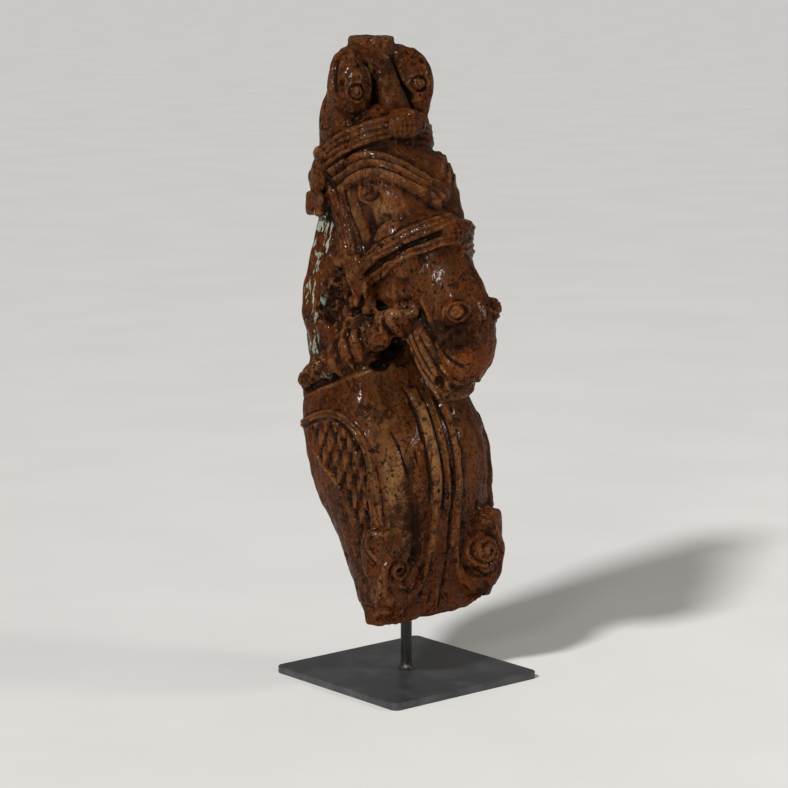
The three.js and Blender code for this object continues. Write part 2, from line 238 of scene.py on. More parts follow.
# A strap lying on the skin, its face cut into cords with grooves between them.
def strap(wood, route, half, cords=1, lift=1.5, depth=1.5, fade=8, widen=1.0, edge=1.6, lapped=0):
    reach = half * max(1, widen) + 6
    spot = alongRoute(wood, route, reach, lift + depth + 7)
    share = spot["along"] / spot["length"]
    wide = half * (1 + (widen - 1) * share)
    inside = easing((wide - np.abs(spot["across"])) / edge) * (spot["off"] < wide + 5)
    if lapped:  # plates that overlap like slates, highest at their lower edge
        place = np.mod((1 + lapped * spot["across"] / wide) / 2 * cords, 1.0)
        face = (0.55 + 0.6 * place) * easing((1 - place) / 0.12)
    else:
        face = roundCords((spot["across"] / wide + 1) / 2, cords)
    amount = lift + depth * (face - 0.55)
    raiseBy(spot, inside * endFade(spot, fade) * amount)


def ridge(wood, route, half, height, fade=6):
    spot = alongRoute(wood, route, half + 4, abs(height) + 6)
    shape = np.clip(1 - (spot["off"] / half) ** 2, 0, 1)
    raiseBy(spot, height * shape ** 1.2 * endFade(spot, fade))


def groove(wood, route, half, depth, fade=4):
    spot = alongRoute(wood, route, half + 4, depth + 5)
    shape = np.clip(1.25 - spot["off"] / half, 0, 1)
    raiseBy(spot, -depth * shape * endFade(spot, fade))


# Distance from a point on the skin, and the turn round it, for the cells near it.
def aroundPoint(wood, place, radius, depth, normal=None):
    centre, slope = toSkin(wood, [place])
    centre = centre[0]
    normal = slope[0] if normal is None else np.array(normal, float) / np.linalg.norm(normal)
    upward = np.array((0, 0, 1)) - normal[2] * normal
    upward /= np.linalg.norm(upward)
    rightward = np.cross(upward, normal)
    part, chosen, cells = near(wood, centre - radius - 2, centre + radius + 2, depth)
    offset = cells - centre
    across, up, out = offset @ rightward, offset @ upward, offset @ normal
    return {"part": part, "chosen": chosen, "cells": cells, "across": across, "up": up, "out": out,
            "off": np.hypot(across, up), "turn": np.arctan2(up, across)}


def ringed(wood, place, radius, rings, height, button=0.0, normal=None):
    spot = aroundPoint(wood, place, radius, height + button + 8, normal)
    far = spot["off"] / radius
    wave = np.cos(far * rings * 2 * math.pi)
    amount = height * wave * easing((1 - far) / 0.12) * (np.abs(spot["out"]) < radius)
    if button:
        amount += button * np.clip(1 - (far / 0.42) ** 2, 0, 1)
    raiseBy(spot, amount)


def curl(wood, place, radius, turns, height, way=1, start=0.0, normal=None):
    spot = aroundPoint(wood, place, radius, height + 8, normal)
    far = spot["off"] / radius
    phase = far * turns - way * (spot["turn"] - start) / (2 * math.pi)
    wave = 1 - 2 * np.abs(2 * np.mod(phase, 1.0) - 1) ** 1.3
    swell = np.clip(1 - far ** 2, 0, 1)
    amount = height * (wave * easing((1 - far) / 0.15) * 0.8 + swell * 0.9)
    raiseBy(spot, amount * (np.abs(spot["out"]) < radius))


def join(a, b, blend):
    share = np.clip(0.5 + 0.5 * (b - a) / blend, 0, 1)
    return b + (a - b) * share - blend * share * (1 - share)


def merge(part, shape, blend, remove):
    part[:] = -join(-part, shape, blend) if remove else join(part, shape, blend)


# How far cells lie from the middle of an ellipsoid, squared, with its surface at 1.
def farness(cells, place, size):
    x, y, z = cells
    return ((x - place[0]) / size[0]) ** 2 + ((y - place[1]) / size[1]) ** 2 + ((z - place[2]) / size[2]) ** 2


# A lump with flat chiselled faces, or the same shape taken out.
def chunk(wood, place, size, facets=11, seed=1, blend=1.0, out=0.0, remove=False):
    centre, slope = toSkin(wood, [place])
    centre = centre[0] + slope[0] * out
    size = np.array(size, float)
    random = np.random.default_rng(seed)
    faces = random.normal(size=(facets, 3))
    faces /= np.linalg.norm(faces, axis=1)[:, None]
    faces = np.vstack([faces, -faces])
    part, (x, y, z) = cut(wood, centre - size * 1.6 - 3, centre + size * 1.6 + 3)
    x, y, z = (x - centre[0]) / size[0], (y - centre[1]) / size[1], (z - centre[2]) / size[2]
    shape = np.full(part.shape, -9.0, np.float32)
    for a, b, c in faces:
        shape = np.maximum(shape, a * x + b * y + c * z - random.uniform(0.72, 0.95))
    merge(part, shape * size.min(), blend, remove)


# A smooth mass at a fixed place, for filling out a form or hollowing it.
def mass(wood, place, size, blend=6.0, remove=False, margin=8):
    place, size = np.array(place, float), np.array(size, float)
    part, cells = cut(wood, place - size - margin, place + size + margin)
    merge(part, (np.sqrt(farness(cells, place, size)) - 1) * size.min(), blend, remove)


# The same mass, set on the skin nearest to the place.
def lump(wood, place, size, blend=2.0, out=0.0, remove=False):
    centre, slope = toSkin(wood, [place])
    mass(wood, centre[0] + slope[0] * out, size, blend, remove, 6)


# A rounded bar along a route, its radius changing from one end to the other.
def bar(wood, route, radius, tip=None, blend=2.5, sink=0.0, remove=False):
    tip = radius if tip is None else tip
    route = smoothRoute(route, 5)
    onRoute, normals = toSkin(wood, route)
    route = evened(onRoute, 2) - normals * sink
    most = max(radius, tip) + blend + 2
    part, (x, y, z) = cut(wood, route.min(0) - most, route.max(0) + most)
    shape = np.full(part.shape, 99.0, np.float32)
    last = len(route) - 1
    for i in range(last):
        a, line = route[i], route[i + 1] - route[i]
        run = ((x - a[0]) * line[0] + (y - a[1]) * line[1] + (z - a[2]) * line[2]) / max(line @ line, 1e-6)
        run = np.clip(run, 0, 1)
        gap = np.sqrt(sum((axis - start - run * step) ** 2 for axis, start, step in zip((x, y, z), a, line)))
        shape = np.minimum(shape, gap - radius - (tip - radius) * (i + run) / last)
    merge(part, shape, blend, remove)


# Evens out a patch before finer work is cut into it.
def smoothPatch(wood, place, size, passes):
    place, size = np.array(place, float), np.array(size, float)
    part, cells = cut(wood, place - size, place + size)
    share = easing((1 - farness(cells, place, size)) * 2.5)
    part += share * (soften(part.copy(), passes) - part)


def smoothNoise(axes, scales, random):
    lattice = random.normal(size=[int(np.ptp(a) / s) + 4 for a, s in zip(axes, scales)]).astype(np.float32)
    for k in range(3):
        place = (axes[k] - axes[k][0]) / scales[k] + random.uniform(0, 0.9)
        cell = np.minimum(place.astype(int), lattice.shape[k] - 2)
        share = easing(place - cell).astype(np.float32)
        weights = np.zeros((len(place), lattice.shape[k]), np.float32)
        weights[np.arange(len(place)), cell] = 1 - share
        weights[np.arange(len(place)), cell + 1] = share
        lattice = np.moveaxis(np.tensordot(weights, lattice, axes=(1, k)), 0, k)
    return lattice


# Lets a patch of the skin break up into small lumps and hollows.
def roughen(wood, place, size, scale, height, seed, sink=0.0):
    place, size = np.array(place, float), np.array(size, float)
    part, cells = cut(wood, place - size, place + size)
    noise = smoothNoise([axis.ravel() for axis in cells], (scale,) * 3, np.random.default_rng(seed))
    share = easing((1 - farness(cells, place, size) + 0.25 * noise) * 1.8)
    part += share * (height * noise + sink)


crest = {
    "hoodMasses": [((41, 44, 630), (21, 20, 36)), ((28, 52, 652), (24, 20, 18)),
                   ((44, 48, 598), (15, 22, 30)), ((50, 60, 588), (9, 22, 34))],
    "hoodGroove": [(34, 48, 663), (48, 46, 658), (57, 43, 648), (60, 42, 636), (58, 38, 620)],
    "earRings": [(-49, 28, 625), (37, 26, 630)],
    "earHole": ((-60, 32, 633), (3.5, 4, 4.5)),
    "slots": [
        [(-31, 38, 655), (-27, 34, 642), (-22, 32, 624), (-21, 27, 608)],
        [(4, 38, 658), (12, 36, 642), (20, 30, 626), (30, 24, 612)],
    ],
    "frayed": ((-34, 24, 602), (20, 16, 14)),
    "pegChips": [(-16, 42, 676), (9, 42, 679), (20, 42, 672)],
    "forelock": [(-14, 36, 662), (-9, 34, 638), (-1, 24, 614), (3, 10, 598)],
    "lips": [
        [(-37, 34, 650), (-33, 30, 634), (-28, 28, 616), (-26, 24, 604)],
        [(10, 36, 655), (20, 34, 640), (29, 28, 624), (37, 22, 610)],
    ],
    "hoodSwirls": [
        [(50, 34, 606), (42, 28, 602), (33, 24, 604)],
        [(52, 38, 598), (44, 32, 592), (36, 26, 594)],
        [(50, 28, 646), (42, 30, 650), (36, 34, 656)],
    ],
}


def carveCrest(wood):
    for side in (-1, 1):
        on = sided(crest, side)
        for place, size in crest["hoodMasses"]:
            mass(wood, on(place), size)
        groove(wood, on("hoodGroove"), half=4.0, depth=6.5, fade=12)
        for route in crest["hoodSwirls"]:
            groove(wood, on(route), half=1.7, depth=1.8)
    lump(wood, *crest["earHole"], remove=True)
    for ring in crest["earRings"]:
        ringed(wood, ring, 13, 2.5, 1.7, 4.6)
    for route in crest["slots"]:
        groove(wood, route, half=4.4, depth=13.0, fade=6)
    for route in crest["lips"]:
        ridge(wood, route, half=3.0, height=2.0)
    strap(wood, crest["forelock"], half=12, cords=5, lift=1.2, depth=0.6, fade=4, widen=1.6, edge=3)
    roughen(wood, *crest["frayed"], 4.5, 1.0, 3)
    for i, chip in enumerate(crest["pegChips"]):
        chunk(wood, chip, (5, 5, 3), seed=50 + i, remove=True, out=2)


bridle = {
    "bandGroove": [(58, 44, 545), (50, 22, 560), (38, 4, 569), (22, -8, 572)],
    "browband": [(58, 64, 548), (53, 38, 570), (34, 12, 585), (14, 3, 590), (0, 0, 590)],
    "bandFoot": [(61, 50, 545), (53, 28, 558), (42, 10, 567), (26, -4, 571)],
    "masses": [((40, 16, 500), (15, 18, 34)), ((40, -12, 446), (15, 30, 26)), ((38, -18, 424), (13, 26, 18)),
               ((30, -46, 436), (11, 24, 26))],
    "noseband": [(56, 2, 444), (49, -20, 462), (41, -46, 480), (21, -64, 490), (0, -71, 492)],
    "noseFoot": [(54, -2, 430), (47, -30, 449), (38, -54, 465), (20, -72, 476), (0, -79, 478)],
    "bandGap": [(54, -2, 437), (48, -26, 456), (40, -50, 472), (21, -69, 483), (0, -76, 485)],
    "evened": ((46, -16, 496), (22, 34, 30)),
    "frayed": ((50, 30, 556), (14, 30, 9)),
    # the two blocks: place, size, half width and height of the cut bars, how many each way
    "browBlock": ((-1, 3, 590), (28, 15, 19), 19, 12, 7, 3),
    "noseBlock": ((-2, -76, 485), (17, 14, 15), 13, 12, 5, 4),
    "cheekStrap": [(58, 48, 526), (56, 38, 500), (57, 24, 472), (59, 14, 450)],
    "eyeStrap": [(54, 22, 532), (52, 20, 512), (49, 12, 490), (47, 2, 466)],
}


def carveBridle(wood):
    for side in (-1, 1):
        on = sided(bridle, side)
        for place, size in bridle["masses"]:
            mass(wood, on(place), size)
        place, size = bridle["evened"]
        smoothPatch(wood, on(place), size, 16)
        lift = 2.4 if side < 0 else 0.8  # the +X side is flatter
        bar(wood, on("browband", 8), radius=22, blend=3, sink=20 + 3 * (side > 0))
        strap(wood, on("browband", 8), half=12.5, cords=4, lift=lift, depth=3.6, fade=3, edge=1.2)
        groove(wood, on("bandGroove", 6), half=5.0, depth=4.0, fade=12)
        strap(wood, on("bandFoot"), half=4.5, cords=1, lift=0.4, depth=1.0, fade=8)
        place, size = bridle["frayed"]
        roughen(wood, on(place), size, 4.5, 1.3, 7 + side)
        bar(wood, on("bandGap", 7), radius=24, blend=3, sink=21.5 + 3 * (side > 0))
        strap(wood, on("noseband", 7), half=8.5, cords=3, lift=lift + 0.8, depth=3.4, fade=3, edge=1.2)
        strap(wood, on("noseFoot", 7), half=6.0, cords=2, lift=2.2, depth=3.0, fade=3, edge=1.2)
        groove(wood, on("bandGap", 7), half=2.6, depth=5.0, fade=6)
        strap(wood, on("cheekStrap"), half=12, cords=5, lift=0.8, depth=3.2, fade=8)
        strap(wood, on("eyeStrap"), half=7.5, cords=1, lift=1.6, depth=2.4, fade=10)
    for name in ("browBlock", "noseBlock"):
        place, size, wide, tall, columns, rows = bridle[name]
        mass(wood, place, size, 2.5)
        x, y, z = place
        front = y - size[1]
        for column in x + np.linspace(-wide, wide, columns):
            upright = [(column, front + 6, z + tall), (column, front, z), (column, front - 2, z - tall)]
            groove(wood, upright, half=1.7, depth=4.4, fade=2)
        for row in z + np.linspace(0, tall, rows):
            level = [(x - wide, front + 3, row), (x, front, row), (x + wide, front + 3, row)]
            groove(wood, level, half=1.4, depth=3.2, fade=2)


knots = {
    "rosette": [((66, 64, 535), (8, 12, 12)), ((63, 60, 552), (6, 8, 9)), ((63, 60, 511), (6, 7, 10)),
                ((61, 74, 560), (5, 7, 8))],
    "cluster": [((60, 10, 436), (11, 15, 11)), ((61, 9, 414), (9, 10, 15)), ((54, -6, 424), (9, 8, 12)),
                ((52, -3, 408), (8, 7, 9)), ((61, 12, 452), (8, 10, 8))],
    "tie": [(66, 50, 528), (64, 56, 516), (62, 62, 520)],
    "gap": (44, -11, 408),
}


def carveKnots(wood):
    for side in (-1, 1):
        on = sided(knots, side)
        for name in ("rosette", "cluster"):
            for i, (place, size) in enumerate(knots[name]):
                chunk(wood, on(place), size, 6, seed=20 + i + 3 * side, blend=0.4, out=1.0)
        groove(wood, on("tie"), half=2.4, depth=4)
        chunk(wood, on("gap"), (6, 7, 5), 3, seed=9, out=-2, remove=True)


brow = {
    "bands": [(59, 46, 530), (57, 20, 546), (48, -2, 552), (35, -22, 547), (21, -37, 537)],
    "longTail": [(6, -47, 525), (-6, -54, 512)],
    "evened": ((34, -10, 548), (40, 54, 34)),
    "eye": (53, -5, 524),
    "lid": [(55, 12, 524), (57, 3, 533), (54, -10, 533), (49, -18, 524)],
    "underLid": [(55, 10, 519), (54, -2, 512), (50, -14, 516)],
    "frayed": ((44, -22, 492), (18, 16, 14)),
    "wormHole": (46, -18, 486),
}


def carveFace(wood):
    for side in (-1, 1):
        on = sided(brow, side)
        place, size = brow["evened"]
        smoothPatch(wood, on(place), size, 16 if side < 0 else 4)
        route = brow["bands"] + (brow["longTail"] if side < 0 else [])
        lift, depth = 1.0 - 0.6 * side, 5.4 - side  # the +X side is flatter
        strap(wood, on(route, 11), half=15, cords=3, lift=lift, depth=depth, fade=5, lapped=side, edge=1.0)
        ringed(wood, on("eye"), 13, 2, 1.8, 4.6)
        ridge(wood, on("lid"), half=3.0, height=2.6)
        ridge(wood, on("underLid"), half=2.2, height=1.0)
        place, size = brow["frayed"]
        roughen(wood, on(place), size, 4, 0.7, 31 + side)
        lump(wood, on("wormHole"), (2.5, 3, 3), remove=True)


muzzle = {
    "nostril": (29, -112, 408),
    "mouth": [(31, -56, 420), (27, -62, 402), (25, -72, 384), (27, -88, 369), (25, -104, 356),
              (18, -114, 350)],
    "lip": [(33, -60, 420), (31, -70, 402), (30, -80, 388), (29, -94, 374), (27, -106, 362)],
    "crack": [(-28, -70, 456), (-31, -80, 434), (-31, -87, 420)],
    "eaten": ((30, -102, 381), (13, 22, 14)),
    "lipChips": [(-14, -119, 398), (-11, -116, 388), (-8, -121, 380), (-5, -118, 366)],
    "noseEdge": [(9, -84, 464), (10, -98, 442), (9, -110, 420)],
    "jawLobe": (36, -48, 404),
}


def carveMuzzle(wood):
    for side in (-1, 1):
        on = sided(muzzle, side)
        ringed(wood, on("nostril"), 15, 3, 1.5, 2.0, (side * 0.85, -0.5, 0.1))
        groove(wood, on("mouth"), half=2.6, depth=5.5)
        ridge(wood, on("lip"), half=3.0, height=2.0)
        groove(wood, on("noseEdge"), half=1.6, depth=1.4)
        place, size = muzzle["eaten"]
        roughen(wood, on(place), size, 3.6, 1.8, 61 + side, 1.6)
        lump(wood, on("jawLobe"), (7, 12, 11), out=-2, blend=4)
    groove(wood, muzzle["crack"], half=1.3, depth=1.6)
    for i, chip in enumerate(muzzle["lipChips"]):
        chunk(wood, chip, (5, 4, 5), seed=80 + i, remove=True, out=3)


reins = {
    "cords": [(29, -44, 382), (28, -58, 360), (25, -72, 340), (14, -85, 318)],
    "frontCords": [(10, -66, 378), (10, -78, 352), (8, -87, 326)],
    "hole": ((-21, -78, 330), (5, 6, 7)),
}


def carveReins(wood):
    for side in (-1, 1):
        on = sided(reins, side)
        strap(wood, on("cords"), half=16, cords=4, lift=1.6, depth=5.0, fade=4)
        strap(wood, on("frontCords"), half=9, cords=2, lift=1.0, depth=3.6, fade=6)
    lump(wood, *reins["hole"], remove=True)


collar = {
    "seam": [(77, 76, 302), (75, 44, 315), (71, 12, 328), (62, -4, 335), (50, -15, 343)],
    "recess": [(77, 70, 311), (75, 42, 323), (70, 14, 336), (62, -4, 343)],
    "swell": [(70, 52, 326), (69, 22, 350), (62, -4, 370), (50, -26, 388), (38, -42, 398)],
    "ledge": [(60, 6, 402), (54, -12, 400), (47, -30, 398), (36, -42, 399), (28, -50, 404)],
    "ring": ((69, 14, 376), 8.5),
    "curls": [((76, 44, 342), 12, 1.6), ((78, 66, 322), 10, 1.4)],
    "leaves": [  # each from its root to its tip
        [(54, -20, 394), (53, -22, 380), (47, -28, 370)],
        [(46, -32, 396), (44, -35, 386), (38, -38, 378)],
        [(62, -6, 388), (61, -10, 372), (55, -14, 356)],
        [(67, 6, 378), (66, 2, 362), (62, -3, 346)],
        [(72, 20, 368), (71, 14, 352), (66, 6, 338)],
        [(72, 24, 376), (76, 34, 364), (76, 38, 350), (74, 30, 340)],
        [(77, 48, 348), (79, 56, 334), (78, 62, 318)],
        [(76, 42, 352), (78, 46, 338), (76, 40, 328)],
        [(74, 30, 344), (74, 24, 334), (72, 18, 330)],
        [(78, 62, 340), (80, 70, 328), (78, 74, 314)],
    ],
    "gaps": [
        [(73, 22, 372), (74, 24, 356), (72, 22, 342)],
        [(77, 50, 356), (80, 60, 342), (79, 68, 330)],
        [(55, -12, 390), (53, -16, 376), (48, -22, 362)],
        [(49, -26, 394), (48, -30, 382), (43, -34, 372)],
        [(64, 2, 384), (62, -3, 368), (58, -8, 350)],
        [(70, 14, 374), (68, 8, 358), (64, 2, 340)],
    ],
    "holes": [((69, 14, 376), 3.6), ((73, 30, 330), 3.4), ((60, -12, 399), 3.0), ((55, -19, 362), 3.6)],
    "throat": [((19, -18, 378), (8, 14, 11)), ((23, -18, 364), (12, 16, 14)), ((34, -15, 352), (14, 13, 8)),
               ((44, -10, 342), (12, 10, 5))],
    "hollow": ((-73, 29, 408), (10, 26, 34)),
    "frayed": ((-70, 29, 408), (18, 29, 38)),
}


def carveCollar(wood):
    for side in (-1, 1):
        on = sided(collar, side)
        bar(wood, on("swell"), radius=12, tip=9, blend=6, sink=9)
        groove(wood, on("recess"), half=4.0, depth=4.0, fade=8)
        ridge(wood, on("seam"), half=3.0, height=3.2)
        ridge(wood, on("ledge"), half=5.5, height=4.6)
        for i, route in enumerate(collar["leaves"]):
            bar(wood, on(route), radius=6.8 - 0.5 * (i % 3), tip=2.6, blend=0.4, sink=1.4)
        place, radius = collar["ring"]
        ringed(wood, on(place), radius, 1.0, 1.6)
        for place, radius in collar["holes"]:
            lump(wood, on(place), (radius,) * 3, remove=True, out=-1, blend=1.2)
        for place, size in collar["throat"]:
            mass(wood, on(place), size, 3, remove=True)
        for i, place in enumerate(collar["ledge"][:3]):
            chunk(wood, on(place), (5, 5, 3), 6, seed=90 + i, remove=True, out=4)
        for gap in collar["gaps"]:
            groove(wood, on(gap), half=2.0, depth=5.0, fade=3)
        for place, radius, turns in collar["curls"]:
            curl(wood, on(place), radius, turns, 3.4, side, 0.6)
            lump(wood, on(place), (2.6, 3, 2.6), remove=True)
    lump(wood, *collar["hollow"], remove=True, out=3, blend=4)
    roughen(wood, *collar["frayed"], 4.4, 2.6, 71, 0.6)


flank = {
    "arch": [(77, 78, 272), (82, 46, 286), (82, 22, 292), (81, 0, 288), (80, -18, 276), (79, -32, 256),
             (78, -40, 232), (77, -45, 200), (76, -47, 168)],
    "rearLine": [(84, 56, 250), (84, 34, 234), (85, 14, 221), (84, 1, 207), (82, -10, 184)],
    "panel": [(60, -52, 160), (95, 70, 290)],  # opposite corners
    "petal": {"wide": 16.0, "tall": 27.0, "pitch": 18.0, "height": 5.2, "sunk": 4.2, "low": 140, "high": 300},
}


# Pointed petals in staggered rows, tips down, each row lying over the one under it.
def petalHeight(y, z, values, random):
    best = np.zeros(len(y), np.float32)
    for row in range(int(values["low"] // values["pitch"]), int(values["high"] // values["pitch"]) + 1):
        place = y / values["wide"] + 0.5 * (row % 2)
        column = np.floor(place).astype(int)
        sway = random.uniform(-0.06, 0.06, 40)[column]
        drop = random.uniform(-3.5, 3.5, 40)[column]
        rise = (z - row * values["pitch"] - drop) / values["tall"]
        offset = place % 1.0 * 2 - 1 + sway
        half = np.clip(1.5 * np.clip(rise, 0, 1) ** 0.75, 0, 0.84) + 1e-3
        dome = np.clip(1 - (offset / half) ** 2, 0, 1) * ((rise > 0) & (rise < 1))
        best = np.maximum(best, dome ** 0.6 * (1.1 - 0.75 * rise))
    return best


def carveFlank(wood):
    values = flank["petal"]
    arch = np.array(flank["arch"], float)
    rear = np.array(flank["rearLine"], float)
    for side in (-1, 1):
        on = sided(flank, side)
        corners = on("panel")
        part, chosen, cells = near(wood, corners.min(0), corners.max(0), 9)
        y, z = cells[:, 1], cells[:, 2]
        front = np.interp(z, arch[3:][::-1, 2], arch[3:][::-1, 1])
        top = np.interp(y, arch[:5][::-1, 1], arch[:5][::-1, 2])
        back = np.interp(z, rear[::-1, 2], rear[::-1, 1])
        inside = easing((y - front - 5) / 3) * easing((top - z - 6) / 3) * easing((back - y - 2) / 3)
        petals = petalHeight(y, z, values, np.random.default_rng(17))
        raiseBy({"part": part, "chosen": chosen}, inside * (values["height"] * petals - values["sunk"]))
        strap(wood, on("arch"), half=4.6, cords=2, lift=2.2, depth=2.4, fade=5, edge=1.2)
        groove(wood, on(flank["arch"] + np.array((0, 5, -5))), half=1.8, depth=2.6, fade=20)
        ridge(wood, on("rearLine"), half=2.6, height=2.2)


breast = {
    "strap": [(19, -24, 322), (15, -37, 302), (16, -52, 279), (16, -62, 254), (15, -67, 228), (15, -66, 196)],
    "scrollFill": [((60, -58, 142), (22, 11, 38)), ((80, -30, 140), (12, 12, 40)),
                   ((60, -54, 112), (22, 11, 20))],
    "midRib": [(0, -34, 308), (0, -50, 281), (0, -62, 254), (0, -67, 224), (0, -65, 190)],
    "rim": [(15, -66, 200), (16, -63, 166), (21, -57, 136), (34, -53, 114), (52, -50, 104), (72, -54, 112)],
    "split": [(5, -64, 246), (6, -66, 214), (6, -62, 172), (7, -57, 140), (4, -53, 109), (2, -47, 80)],
    "cracks": [
        [(-58, -38, 282), (-54, -49, 266), (-52, -56, 248), (-48, -60, 232)],
        [(-45, -61, 208), (-42, -60, 184), (-46, -58, 168)],
        [(-36, -52, 262), (-37, -58, 248), (-34, -62, 240)],
    ],
    "bigScroll": [(52, -62, 172), (62, -64, 168), (73, -62, 154), (78, -58, 138), (75, -54, 120),
                  (66, -50, 107), (50, -50, 103), (34, -54, 112), (20, -57, 130)],
    "scrollCentre": (52, -60, 134),
    "scrollFloor": ((52, -75, 133), (22, 13, 22)),
    "recess": ((42, -63, 148), (10, 6, 12)),
    "stem": [(77, -60, 148), (78, -53, 116), (73, -38, 82)],
    "volute": (64, -64, 137),
    "flatVolute": (54, -68, 141),
    "lowCurls": [((70, -46, 94), 10, 1.3), ((56, -50, 92), 9, 1.2)],
    "leafRibs": [
        [(80, -36, 176), (79, -44, 160), (78, -50, 146)],
        [(82, -20, 172), (81, -30, 152), (79, -42, 130)],
        [(82, -6, 160), (80, -18, 136), (78, -30, 112)],
        [(60, -60, 120), (50, -56, 126), (40, -57, 140)],
    ],
    "ledge": [(82, -34, 182), (74, -48, 183), (60, -56, 183), (46, -59, 182)],
}


def carveBreast(wood):
    for side in (-1, 1):
        on = sided(breast, side)
        for place, size in breast["scrollFill"]:
            lump(wood, on(place), size, blend=9, out=-size[1])
        half = 6.8 if side < 0 else 4.2
        strap(wood, on("strap"), half=half, cords=1, lift=2.2, depth=0.5, fade=20, edge=1.2)
        for shift in (-half - 1.6, half + 1.6):
            line = on("strap") + (shift, 0, 0)
            groove(wood, line, half=1.5, depth=2.8, fade=8)
        ridge(wood, on("rim"), half=4.0, height=4.0, fade=12)
        if side < 0:
            place, size = breast["scrollFloor"]
            mass(wood, on(place), size, 2, remove=True)
        bar(wood, on("bigScroll"), radius=4.6, tip=3.4, blend=1.2, sink=0.8)
        inner = np.array(breast["bigScroll"], float)
        inner = inner + (breast["scrollCentre"] - inner) * 0.3
        groove(wood, on(inner), half=2.6, depth=3.2, fade=10)
        ridge(wood, on("stem"), half=3.4, height=2.4)
        ridge(wood, on("ledge"), half=3.0, height=1.8)
        if side < 0:
            place, size = breast["recess"]
            mass(wood, on(place), size, 3, remove=True)
            curl(wood, on("volute"), 12, 1.5, 3.4, -side, 0.8, (-0.5, -0.85, 0))
            lump(wood, on("volute"), (3, 5, 3), remove=True)
        else:
            curl(wood, breast["flatVolute"], 21, 2.6, 2.0, -1, 2.2)
        for place, radius, turns in breast["lowCurls"]:
            curl(wood, on(place), radius, turns, 2.4, side, 1.6)
        for route in breast["leafRibs"]:
            ridge(wood, on(route), half=3.4, height=2.4, fade=8)
            lower = np.array(route, float) - (0, 0, 6)
            groove(wood, on(lower), half=1.8, depth=2.0, fade=8)
    for shift in (-3.4, 1.2):
        ridge(wood, np.array(breast["midRib"]) + (shift, 0, 0), half=1.8, height=2.4)
    groove(wood, breast["split"], half=1.5, depth=5.5, fade=5)
    for route in breast["cracks"]:
        groove(wood, route, half=1.5, depth=3.0, fade=8)


weather = {
    "broad": ((26, 26, 46), 0.75),
    "chisel": ((7, 7, 10), 0.42),
    "grain": ((3.6, 3.6, 26), 0.34),
    "pitScale": (3.6, 3.6, 5.2),
    "pitDepth": 1.5,
    "pitAmount": 2.15,  # higher leaves fewer pits
    # where each crack in the back lies across the block, and its lowest and highest point
    "backCracks": [(-48, 210, 470), (-14, 330, 610), (31, 250, 560), (55, 120, 300), (6, 110, 240)],
}


# Long wear on the whole block: slow hollows, chisel marks, raised grain and small pits.
def weatherBlock(wood):
    random = np.random.default_rng(woodBlock["seed"])
    for name in ("broad", "chisel", "grain"):
        scales, height = weather[name]
        wood["field"] += height * smoothNoise(wood["axes"], scales, random)
    pits = smoothNoise(wood["axes"], weather["pitScale"], random)
    patches = smoothNoise(wood["axes"], (24, 24, 34), random)
    eaten = np.clip(pits + 0.45 * patches - weather["pitAmount"], 0, 0.8) / 0.8
    wood["field"] += weather["pitDepth"] * 1.6 * eaten
    wood["eaten"] = eaten


def backCracks(wood):
    random = np.random.default_rng(5)
    for x, low, high in weather["backCracks"]:
        heights = np.arange(low, high, 38)
        route = [(x + random.uniform(-3, 3), 88 if z > 240 else 60, z) for z in heights]
        groove(wood, route, half=1.6, depth=3.6, fade=20)


def largestShell(points, quads):
    label = np.arange(len(points))
    while True:
        lowest = label[quads].min(1)
        fresh = label.copy()
        for k in range(4):
            np.minimum.at(fresh, quads[:, k], lowest)
        fresh = fresh[fresh]
        if (fresh == label).all():
            break
        label = fresh
    main = np.bincount(label).argmax()
    keep = label == main
    order = np.cumsum(keep) - 1
    return points[keep], order[quads[keep[quads[:, 0]]]]


def addObject(name, data, place=(0, 0, 0)):
    obj = bpy.data.objects.new(name, data)
    obj.location = place
    bpy.context.scene.collection.objects.link(obj)
    return obj


def meshOf(name, points, faces, smooth=True):
    mesh = bpy.data.meshes.new(name)
    mesh.vertices.add(len(points))
    mesh.vertices.foreach_set("co", (np.asarray(points) / 1000).astype(np.float32).ravel())
    mesh.loops.add(faces.size)
    mesh.loops.foreach_set("vertex_index", faces.astype(np.int32).ravel())
    mesh.polygons.add(len(faces))
    mesh.polygons.foreach_set("loop_start", np.arange(0, faces.size, faces.shape[1], dtype=np.int32))
    mesh.update(calc_edges=True)
    mesh.validate()
    mesh.polygons.foreach_set("use_smooth", np.full(len(mesh.polygons), smooth))
    return addObject(name, mesh)


def thinned(obj, triangles):
    now = sum(len(face.vertices) - 2 for face in obj.data.polygons)
    if now <= triangles:
        return
    modifier = obj.modifiers.new("thin", "DECIMATE")
    modifier.ratio = triangles / now
    graph = bpy.context.evaluated_depsgraph_get()
    mesh = bpy.data.meshes.new_from_object(obj.evaluated_get(graph))
    obj.modifiers.clear()
    obj.data = mesh


